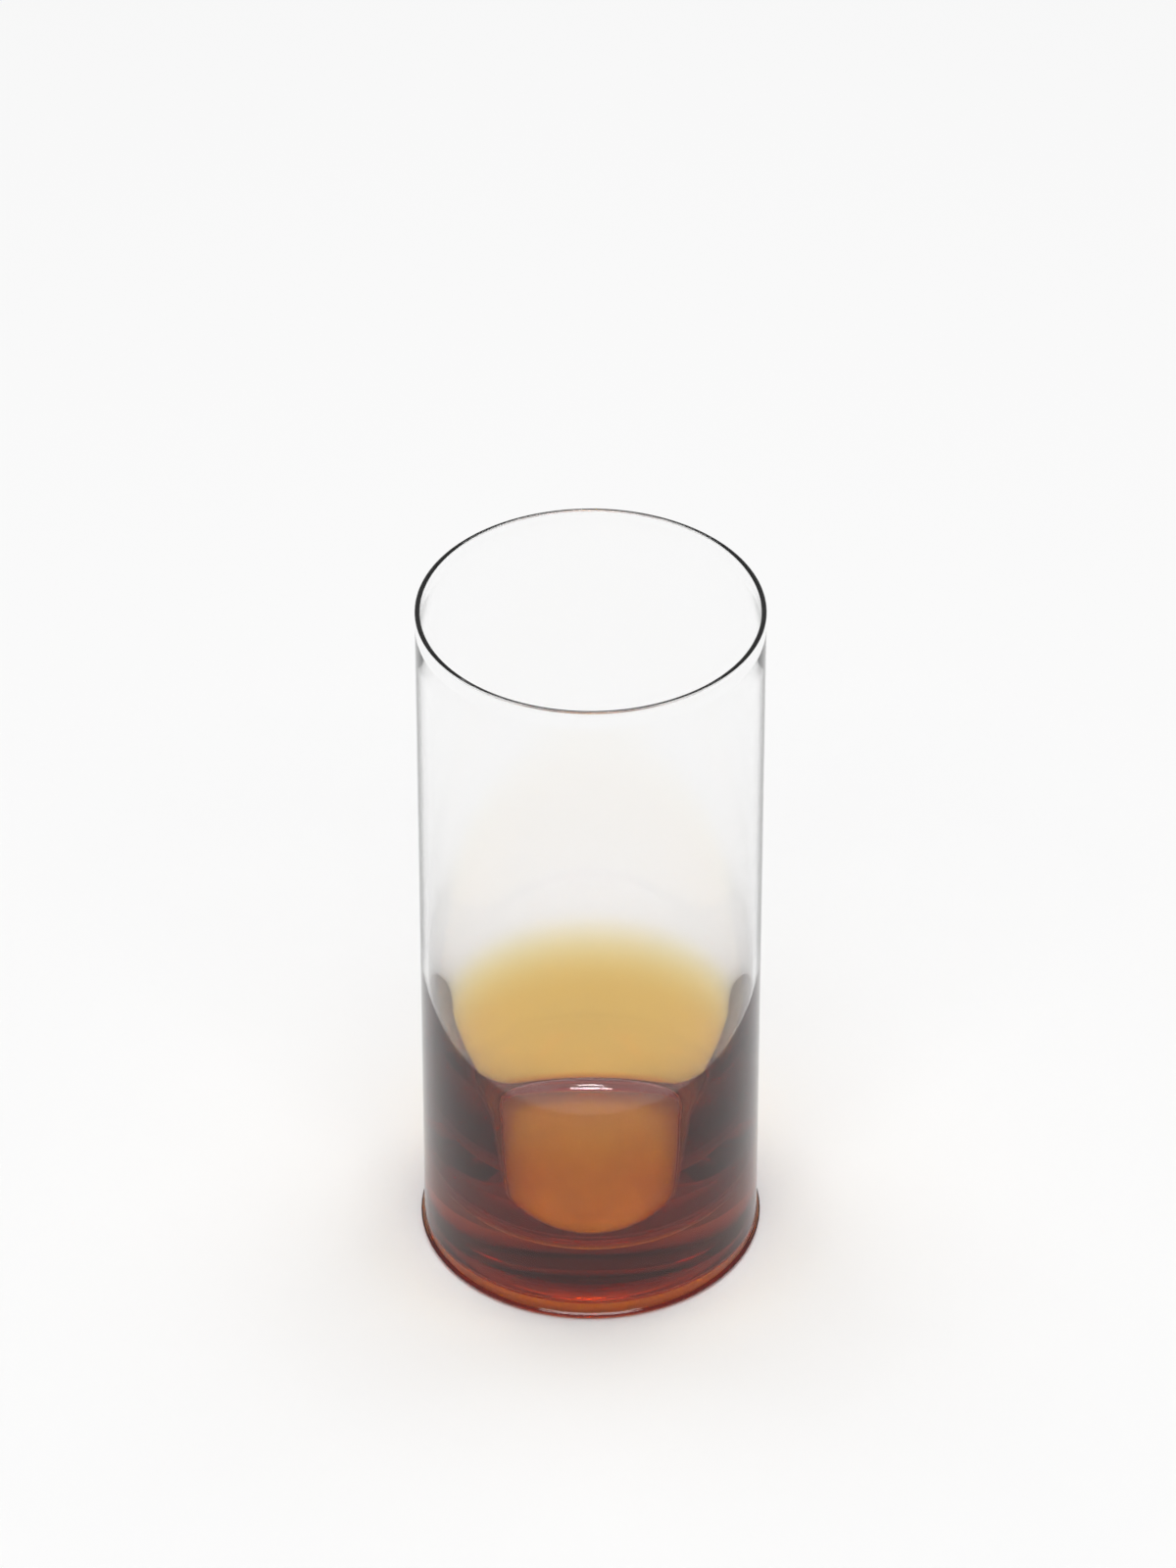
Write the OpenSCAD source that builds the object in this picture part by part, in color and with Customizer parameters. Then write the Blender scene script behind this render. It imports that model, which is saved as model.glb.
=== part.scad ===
// Highball glass, blown from two melts that are fused hot into one vessel:
// a clear bubble (rim, wall and lining) that sits in a heavy amber base.
// Frame: +Z up, origin on the axis of the glass at the resting plane. Units are millimetres.

/* [Body] */
// Height from the resting ring to the top of the rim
glass_h = 156; // [120:1:190]
// Outside diameter of the straight wall
glass_d = 70; // [58:1:86]

/* [Clear wall] */
// Thickness of the rounded bead at the rim
rim_t = 1.1; // [0.8:0.1:1.8]
// Height over which the bead thins into the wall
bead_h = 4; // [2:0.5:8]
// Thickness of the wall just below the bead
lip_t = 0.8; // [0.6:0.1:1.6]
// Thickness of the wall where the inside starts to narrow
wall_t = 1.3; // [1:0.1:2]

/* [Inside] */
// Height where the inside starts to narrow
shoulder_z = 70; // [60:1:100]
// Height where the narrowing becomes a straight cone
cone_top_z = 45; // [40:1:52]
// Height where the cone starts to turn into the floor
cone_bottom_z = 26; // [20:1:32]
// Lean of the cone from upright, in degrees
cone_lean = 10.5; // [8:0.1:13]
// Thickness of the whole wall at the bottom of the cone
heel_t = 7.3; // [6:0.1:10]
// Distance from the outside of the wall to the edge of the floor
floor_inset = 11.2; // [10:0.1:16]
// Slope of the floor at its edge, in degrees
floor_slope = 18; // [10:1:30]
// Height of the middle of the floor
floor_z = 9.6; // [8:0.1:12]

/* [Amber base] */
// Height where the amber runs out on the wall
amber_top_z = 54; // [48:1:66]
// Height below which the amber on the wall has its full thickness
amber_full_z = 33; // [26:1:40]
// Full thickness of the amber on the wall
amber_t = 1.5; // [1:0.1:4]
// Height where the inside of the amber starts to turn into its floor
amber_heel_z = 11; // [9:1:25]
// Height of the top of the amber under the floor
amber_floor_z = 5.2; // [4.5:0.1:8]
// Radius of the flat middle of the amber's floor
amber_flat_r = 22; // [12:1:26]

/* [Foot] */
// How far the foot flares beyond the wall
foot_flare = 0.7; // [0.2:0.1:1.5]
// Height of the flare
foot_h = 1.9; // [1.6:0.1:8]
// Radius of the lower edge of the foot
foot_edge_r = 1; // [0.5:0.1:1.5]
// Width of the flat ring that the glass rests on
ring_w = 1.3; // [1:0.1:4]
// Depth of the hollow inside the resting ring
hollow_d = 3.8; // [0.5:0.1:4.5]
// How square the hollow is: 2 is a dome, more is a flat roof with steep sides
hollow_hold = 10; // [2:1:12]

/* [Hidden] */
$fn = 128;

// Steps along one curve of the outline
curve_steps = 14;
// How far each end of a curve holds its direction, as shares of the curve's own height
shoulder_hold = [0.48, 0.32];
corner_hold = [0.6, 0.06];
// How far each end of the amber's heel holds its direction, as shares of its width and height
heel_low_hold = [0.7, 0.1];
heel_high_hold = [0, 0.3];

wall_r = glass_d / 2;
rim_r = rim_t / 2;
rim_z = glass_h - rim_r;
inner_r = wall_r - wall_t;
cone_bottom_r = wall_r - heel_t;
cone_top_r = cone_bottom_r + (cone_top_z - cone_bottom_z) * tan(cone_lean);
floor_r = wall_r - floor_inset;
floor_curve = tan(floor_slope) / (2 * floor_r);
floor_edge_z = floor_z + floor_curve * floor_r * floor_r;
amber_inner_r = wall_r - amber_t;
foot_edge_x = wall_r + foot_flare - foot_edge_r;
hollow_r = foot_edge_x - ring_w;

// Directions along the cone and along the floor's edge, as [outwards, up]
cone_dir = [sin(cone_lean), cos(cone_lean)];
floor_dir = [cos(floor_slope), sin(floor_slope)];

// S-curve from 0 to 1
function ease(t) = t * t * (3 - 2 * t);

// Points of a cubic curve after its first end
function cubic(a, a_pull, b_pull, b) = [
    for (i = [1 : curve_steps])
        let (t = i / curve_steps, u = 1 - t)
            u * u * u * a + 3 * u * u * t * a_pull + 3 * u * t * t * b_pull + t * t * t * b
];

// Points of an arc about c, from one angle to another
function arc(c, r, from, to) = [
    for (i = [0 : curve_steps])
        let (angle = from + (to - from) * i / curve_steps)
            c + r * [cos(angle), sin(angle)]
];

function reversed(points) = [for (i = [len(points) - 1 : -1 : 0]) points[i]];

// Dished floor, from the axis to its edge
function floor_line() = [
    for (i = [0 : curve_steps])
        let (r = floor_r * i / curve_steps)
            [r, floor_z + floor_curve * r * r]
];

// Corner between the floor and the cone
function corner_line() =
    let (
        from = [floor_r, floor_edge_z],
        to = [cone_bottom_r, cone_bottom_z],
        rise = cone_bottom_z - floor_edge_z
    )
    cubic(from, from + corner_hold[1] * rise * floor_dir, to - corner_hold[0] * rise * cone_dir, to);

// Shoulder where the cone straightens into the thin wall
function shoulder_line() =
    let (
        from = [cone_top_r, cone_top_z],
        to = [inner_r, shoulder_z],
        rise = shoulder_z - cone_top_z
    )
    cubic(from, from + shoulder_hold[1] * rise * cone_dir, to - [0, shoulder_hold[0] * rise], to);

// Bead under the rim, from the thin wall up to where the rounding starts
function bead_line() = [
    for (i = [0 : curve_steps - 1])
        let (t = i / curve_steps)
            [wall_r - lip_t - (rim_t - lip_t) * ease(t), rim_z - bead_h * (1 - t)]
];

// Whole inside, from the middle of the floor up to the rim
function inside_line() = concat(
    floor_line(), corner_line(), [[cone_top_r, cone_top_z]], shoulder_line(), bead_line()
);

// Heel of the amber, from its flat floor up to its skirt
function heel_line() =
    let (
        from = [amber_flat_r, amber_floor_z],
        to = [amber_inner_r, amber_heel_z],
        span = to - from
    )
    cubic(
        from,
        from + [heel_low_hold[0] * span[0], heel_low_hold[1] * span[1]],
        to - [heel_high_hold[0] * span[0], heel_high_hold[1] * span[1]],
        to
    );

// Fused seam between the melts, from the axis out and up to where the amber runs out
function seam_line() = concat(
    [[0, amber_floor_z], [amber_flat_r, amber_floor_z]],
    heel_line(),
    [
        for (i = [0 : curve_steps])
            let (t = i / curve_steps)
                [wall_r - amber_t * ease(1 - t), amber_full_z + (amber_top_z - amber_full_z) * t]
    ]
);

// Underside and foot, from the axis out to the top of the flare
function foot_line() = concat(
    [
        for (i = [0 : curve_steps])
            let (share = sin(90 * i / curve_steps))
                [hollow_r * share, hollow_d * (1 - pow(share, hollow_hold))]
    ],
    arc([foot_edge_x, foot_edge_r], foot_edge_r, -90, 0),
    [
        for (i = [1 : curve_steps])
            let (t = i / curve_steps)
                [wall_r + foot_flare * ease(1 - t), foot_edge_r + (foot_h - foot_edge_r) * t]
    ]
);

// Clear gather: rounded rim, thin wall, and the lining down to the floor
module clear_bubble() {
    rim_arc = arc([wall_r - rim_r, rim_z], rim_r, 0, 180);
    color([0.92, 0.95, 0.95, 0.35])
        rotate_extrude()
            polygon(concat(seam_line(), rim_arc, reversed(inside_line())));
}

// Amber gather: heavy base, foot, and the skirt of colour that feathers out on the wall
module amber_base() {
    color([0.72, 0.38, 0.08, 0.75])
        rotate_extrude()
            polygon(concat(foot_line(), reversed(seam_line())));
}

clear_bubble();
amber_base();
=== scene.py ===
# Highball glass, seen as the photograph shows it: a clear bubble fused into a heavy amber base.
# Both melts are smooth lathe meshes on the outlines of the two CAD nodes, because light bends
# through every face of them. Profile sizes are in millimetres, everything else is in metres.

import math

import bmesh
import bpy
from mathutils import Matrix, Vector


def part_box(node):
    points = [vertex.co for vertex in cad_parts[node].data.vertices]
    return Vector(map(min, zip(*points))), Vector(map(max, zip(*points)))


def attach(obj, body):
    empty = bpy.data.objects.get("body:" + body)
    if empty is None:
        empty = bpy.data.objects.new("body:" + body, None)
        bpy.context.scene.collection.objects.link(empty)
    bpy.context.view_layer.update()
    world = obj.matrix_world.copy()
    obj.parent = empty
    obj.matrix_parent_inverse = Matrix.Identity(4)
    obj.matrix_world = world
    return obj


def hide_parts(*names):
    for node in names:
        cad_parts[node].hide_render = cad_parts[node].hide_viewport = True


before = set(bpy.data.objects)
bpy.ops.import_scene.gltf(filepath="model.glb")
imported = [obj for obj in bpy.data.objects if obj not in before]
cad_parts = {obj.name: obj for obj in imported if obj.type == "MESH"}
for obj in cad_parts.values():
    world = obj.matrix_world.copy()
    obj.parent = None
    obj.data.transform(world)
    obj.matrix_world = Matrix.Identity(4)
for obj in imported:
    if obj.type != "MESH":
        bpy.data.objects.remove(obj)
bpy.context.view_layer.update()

MM = 0.001

# Faces in one ring of a melt, and rings along each stretch of the outlines
SEGMENTS = 320
RINGS = {
    "dish": 40, "corner": 40, "cone": 24, "bend": 40, "wall": 12, "bead": 16, "rim": 16, "clear_outside": 10,
    "seam_flat": 6, "heel": 40, "seam_wall": 8, "skirt": 40,
    "hollow": 32, "rest": 3, "foot_edge": 12, "flare": 24, "amber_outside": 16,
}

# Sizes read from the frame
clear_low, clear_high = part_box("clear_bubble")
amber_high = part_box("amber_base")[1]
glass_h = round(clear_high.z / MM, 1)
wall_r = round(clear_high.x / MM, 1)
amber_floor_z = round(clear_low.z / MM, 1)
amber_top_z = round(amber_high.z / MM, 1)
foot_flare = round(amber_high.x / MM, 1) - wall_r

# Wall and inside, as in the CAD
rim_t = 1.1
bead_h = 4
lip_t = 0.8
wall_t = 1.3
shoulder_z = 70
cone_top_z = 45
cone_bottom_z = 26
cone_lean = math.radians(10.5)
heel_t = 7.3
floor_inset = 11.2
floor_slope = math.radians(18)
floor_z = 9.6
shoulder_hold = (0.48, 0.32)
corner_hold = (0.6, 0.06)

# Amber base and foot, as in the CAD
amber_full_z = 33
amber_t = 1.5
amber_heel_z = 11
amber_flat_r = 22
heel_low_hold = (0.7, 0.1)
heel_high_hold = (0.0, 0.3)
foot_h = 1.9
foot_edge_r = 1.0
ring_w = 1.3
hollow_d = 3.8
hollow_hold = 10

# Sizes worked out from these, and directions along the cone and the floor's edge as (outwards, up)
rim_r = rim_t / 2
rim_z = glass_h - rim_r
floor_r = wall_r - floor_inset
floor_curve = math.tan(floor_slope) / (2 * floor_r)
amber_inner_r = wall_r - amber_t
foot_edge_x = wall_r + foot_flare - foot_edge_r
hollow_r = foot_edge_x - ring_w
cone_dir = (math.sin(cone_lean), math.cos(cone_lean))
floor_dir = (math.cos(floor_slope), math.sin(floor_slope))

# Width of the fused seam, which keeps its two faces apart for the light
SEAM_GAP = 0.01

# Index of refraction of soda glass, and of a face with glass on both sides
GLASS_IOR = 1.51
FUSED_IOR = 1.0

# Absorption of red, green and blue in one millimetre of each melt
clear_absorption = (0.013, 0.0125, 0.012)
amber_absorption = (0.1, 0.37, 1.3)


def shares(count):
    """Shares of the way along a stretch, from its first step to its end."""
    return [i / count for i in range(1, count + 1)]


def ease(t):
    """S-curve from 0 to 1."""
    return t * t * (3 - 2 * t)


def ahead(point, direction, distance):
    """The point that lies a distance away in a direction."""
    return (point[0] + distance * direction[0], point[1] + distance * direction[1])


def line(a, b, count):
    """Points from a to b, without a."""
    return [(a[0] + (b[0] - a[0]) * t, a[1] + (b[1] - a[1]) * t) for t in shares(count)]


def cubic(a, a_pull, b_pull, b, count):
    """Points of a cubic curve, without its first end."""
    ends = (a, a_pull, b_pull, b)
    points = []
    for t in shares(count):
        u = 1 - t
        weights = (u * u * u, 3 * u * u * t, 3 * u * t * t, t * t * t)
        points.append(tuple(sum(w * p[k] for w, p in zip(weights, ends)) for k in (0, 1)))
    return points


def floor_height(r):
    """Height of the dished floor at a radius."""
    return floor_z + floor_curve * r ** 2


def inside_line():
    """Inside of the glass, from the middle of the floor up to the rim."""
    floor_edge = (floor_r, floor_height(floor_r))
    cone_low = (wall_r - heel_t, cone_bottom_z)
    cone_top = (cone_low[0] + (cone_top_z - cone_bottom_z) * math.tan(cone_lean), cone_top_z)
    shoulder = (wall_r - wall_t, shoulder_z)
    bead_start = (wall_r - lip_t, rim_z - bead_h)
    rise = cone_bottom_z - floor_edge[1]
    climb = shoulder_z - cone_top_z

    points = [(0.0, floor_z)]
    points += [(floor_r * t, floor_height(floor_r * t)) for t in shares(RINGS["dish"])]
    points += cubic(
        floor_edge,
        ahead(floor_edge, floor_dir, corner_hold[1] * rise),
        ahead(cone_low, cone_dir, -corner_hold[0] * rise),
        cone_low,
        RINGS["corner"],
    )
    points += line(cone_low, cone_top, RINGS["cone"])
    points += cubic(
        cone_top,
        ahead(cone_top, cone_dir, shoulder_hold[1] * climb),
        (shoulder[0], shoulder_z - shoulder_hold[0] * climb),
        shoulder,
        RINGS["bend"],
    )
    points += line(shoulder, bead_start, RINGS["wall"])
    for t in shares(RINGS["bead"]):
        points.append((bead_start[0] - (rim_t - lip_t) * ease(t), bead_start[1] + bead_h * t))
    return points


def rim_line():
    """Fire-polished rim, from the outside over the top to the inside, without its ends."""
    points = []
    for t in shares(RINGS["rim"])[:-1]:
        angle = math.pi * t
        points.append((wall_r - rim_r + rim_r * math.cos(angle), rim_z + rim_r * math.sin(angle)))
    return points


def seam_line():
    """Fused seam, from the axis out and up to where the amber runs out on the wall."""
    middle = (0.0, amber_floor_z)
    flat_end = (amber_flat_r, amber_floor_z)
    heel_top = (amber_inner_r, amber_heel_z)
    run = amber_inner_r - amber_flat_r
    rise = amber_heel_z - amber_floor_z

    points = [middle] + line(middle, flat_end, RINGS["seam_flat"])
    points += cubic(
        flat_end,
        (flat_end[0] + heel_low_hold[0] * run, flat_end[1] + heel_low_hold[1] * rise),
        (heel_top[0] - heel_high_hold[0] * run, heel_top[1] - heel_high_hold[1] * rise),
        heel_top,
        RINGS["heel"],
    )
    points += line(heel_top, (amber_inner_r, amber_full_z), RINGS["seam_wall"])
    for t in shares(RINGS["skirt"]):
        points.append((wall_r - amber_t * ease(1 - t), amber_full_z + (amber_top_z - amber_full_z) * t))
    return points


def foot_line():
    """Underside and foot, from the axis out to the top of the flare."""
    points = [(0.0, hollow_d)]
    for t in shares(RINGS["hollow"]):
        share = math.sin(math.pi / 2 * t)
        points.append((hollow_r * share, hollow_d * (1 - share ** hollow_hold)))
    points += line((hollow_r, 0), (foot_edge_x, 0), RINGS["rest"])
    for t in shares(RINGS["foot_edge"]):
        angle = math.pi / 2 * t
        points.append((foot_edge_x + foot_edge_r * math.sin(angle), foot_edge_r * (1 - math.cos(angle))))
    for t in shares(RINGS["flare"]):
        points.append((wall_r + foot_flare * ease(1 - t), foot_edge_r + (foot_h - foot_edge_r) * t))
    return points


def offset(points, distance):
    """The same outline, moved to its left by distance; its last point stays."""
    moved = []
    for i, (r, z) in enumerate(points[:-1]):
        before = points[max(i - 1, 0)]
        after = points[i + 1]
        run = (after[0] - before[0], after[1] - before[1])
        length = math.hypot(*run)
        moved.append((max(0.0, r - distance * run[1] / length), z + distance * run[0] / length))
    moved[0] = (0.0, moved[0][1])
    return moved + [points[-1]]


def lathe(name, profile, is_seam):
    """A closed mesh turned from a profile that starts and ends on the axis."""
    mesh = bmesh.new()
    ior = mesh.faces.layers.float.new("ior")
    rings = []
    for r, z in profile:
        count = SEGMENTS if r > 0 else 1
        ring = []
        for k in range(count):
            angle = 2 * math.pi * k / SEGMENTS
            ring.append(mesh.verts.new((r * MM * math.cos(angle), r * MM * math.sin(angle), z * MM)))
        rings.append(ring)
    for i, (low, high) in enumerate(zip(rings, rings[1:])):
        for k in range(SEGMENTS):
            below = [low[k % len(low)], low[(k + 1) % len(low)]]
            above = [high[(k + 1) % len(high)], high[k % len(high)]]
            face = mesh.faces.new(list(dict.fromkeys(below + above)))
            face.smooth = True
            face[ior] = FUSED_IOR if is_seam(i) else GLASS_IOR
    for edge in mesh.edges:
        first, second = edge.link_faces
        edge.smooth = first[ior] == second[ior]
    data = bpy.data.meshes.new(name)
    mesh.to_mesh(data)
    mesh.free()
    piece = bpy.data.objects.new(name, data)
    bpy.context.scene.collection.objects.link(piece)
    return piece


def glass_material(name, absorption):
    """Glass that bends light at its free faces, and takes colour out of it on the way through."""
    material = bpy.data.materials.new(name)
    material.use_nodes = True
    tree = material.node_tree
    shader = tree.nodes["Principled BSDF"]
    shader.inputs["Base Color"].default_value = (1, 1, 1, 1)
    shader.inputs["Roughness"].default_value = 0.0
    shader.inputs["IOR"].default_value = GLASS_IOR
    shader.inputs["Transmission Weight"].default_value = 1.0
    index = tree.nodes.new("ShaderNodeAttribute")
    index.attribute_name = "ior"
    tree.links.new(index.outputs["Fac"], shader.inputs["IOR"])
    strongest = max(absorption)
    inside = tree.nodes.new("ShaderNodeVolumeAbsorption")
    inside.inputs["Color"].default_value = tuple(1 - a / strongest for a in absorption) + (1,)
    inside.inputs["Density"].default_value = strongest / MM
    tree.links.new(inside.outputs["Volume"], tree.nodes["Material Output"].inputs["Volume"])
    return material


def make_clear_bubble():
    seam = offset(seam_line(), SEAM_GAP)
    wall = line((wall_r, amber_top_z), (wall_r, rim_z), RINGS["clear_outside"])
    profile = seam + wall + rim_line() + inside_line()[::-1]
    piece = lathe("clear_glass_bubble", profile, lambda i: i < len(seam) - 1)
    piece.data.materials.append(glass_material("clear_blown_glass", clear_absorption))
    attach(piece, "root")
    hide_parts("clear_bubble")


def make_amber_base():
    seam = seam_line()
    foot = foot_line()
    outside = foot + line(foot[-1], (wall_r, amber_top_z), RINGS["amber_outside"])
    profile = outside + seam[::-1][1:]
    piece = lathe("amber_glass_base", profile, lambda i: i >= len(outside) - 1)
    piece.data.materials.append(glass_material("amber_blown_glass", amber_absorption))
    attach(piece, "root")
    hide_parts("amber_base")


# Floor, which lies a little below the foot so that their faces don't meet
FLOOR_HALF = 6.0
FLOOR_DROP = 0.00005
floor_colour = (0.94, 0.94, 0.94, 1)


def make_floor():
    signs = [(-1, -1), (1, -1), (1, 1), (-1, 1)]
    corners = [(x * FLOOR_HALF, y * FLOOR_HALF, -FLOOR_DROP) for x, y in signs]
    data = bpy.data.meshes.new("floor")
    data.from_pydata(corners, [], [(0, 1, 2, 3)])
    material = bpy.data.materials.new("pale_floor")
    material.use_nodes = True
    shader = material.node_tree.nodes["Principled BSDF"]
    shader.inputs["Base Color"].default_value = floor_colour
    shader.inputs["Roughness"].default_value = 1.0
    shader.inputs["Specular IOR Level"].default_value = 0.0
    data.materials.append(material)
    floor = bpy.data.objects.new("floor", data)
    bpy.context.scene.collection.objects.link(floor)


# Light of the room, and softboxes that face the glass, with their power in watts
room_level = 0.5
softboxes = {
    "left": dict(at=(-0.95, 0.9, 2.9), size=(1.1, 1.3), power=13),
    "right": dict(at=(0.95, 0.9, 2.9), size=(1.1, 1.3), power=13),
    "streak": dict(at=(0, 0, 2.9), size=(0.6, 0.06), power=10),
    "front": dict(at=(0, -1.6, 2.2), size=(2.4, 0.45), power=19),
}


def make_room():
    world = bpy.data.worlds.new("room")
    world.use_nodes = True
    bpy.context.scene.world = world
    background = world.node_tree.nodes["Background"]
    background.inputs["Color"].default_value = (1, 1, 1, 1)
    background.inputs["Strength"].default_value = room_level


def make_softbox(name, at, size, power):
    light = bpy.data.lights.new(name, "AREA")
    light.shape = "RECTANGLE"
    light.size, light.size_y = size
    light.energy = power
    lamp = bpy.data.objects.new(name, light)
    lamp.location = at
    lamp.rotation_euler = (-Vector(at)).to_track_quat("-Z", "Y").to_euler()
    bpy.context.scene.collection.objects.link(lamp)


# Camera, fitted to the rim, wall and foot outlines in the photograph
PHOTO_SIZE = (1200, 1600)
SENSOR = 36.0
CLIP_START = 0.01
focal_px = 7818
axis_px = (602.7, 927)
eye_distance = 1.5676
eye_pitch = math.radians(37.907)
aim_height = 0.0805


def make_camera():
    camera = bpy.data.cameras.new("camera")
    camera.sensor_fit = "AUTO"
    camera.sensor_width = SENSOR
    camera.lens = focal_px / max(PHOTO_SIZE) * SENSOR
    camera.shift_x = (PHOTO_SIZE[0] / 2 - axis_px[0]) / max(PHOTO_SIZE)
    camera.shift_y = (axis_px[1] - PHOTO_SIZE[1] / 2) / max(PHOTO_SIZE)
    camera.clip_start = CLIP_START
    eye = bpy.data.objects.new("camera", camera)
    back = eye_distance * math.cos(eye_pitch)
    up = aim_height + eye_distance * math.sin(eye_pitch)
    eye.location = (0, -back, up)
    eye.rotation_euler = (math.pi / 2 - eye_pitch, 0, 0)
    bpy.context.scene.collection.objects.link(eye)
    bpy.context.scene.camera = eye


def set_light_paths():
    """Enough bounces for light to find its way through both melts."""
    cycles = bpy.context.scene.cycles
    cycles.max_bounces = 32
    cycles.transmission_bounces = 32
    cycles.glossy_bounces = 16
    cycles.sample_clamp_indirect = 40
    cycles.blur_glossy = 0.0
    bpy.context.scene.view_settings.view_transform = "Standard"


make_camera()
make_clear_bubble()
make_amber_base()
make_floor()
make_room()
for softbox_name, facts in softboxes.items():
    make_softbox(softbox_name, **facts)
set_light_paths()
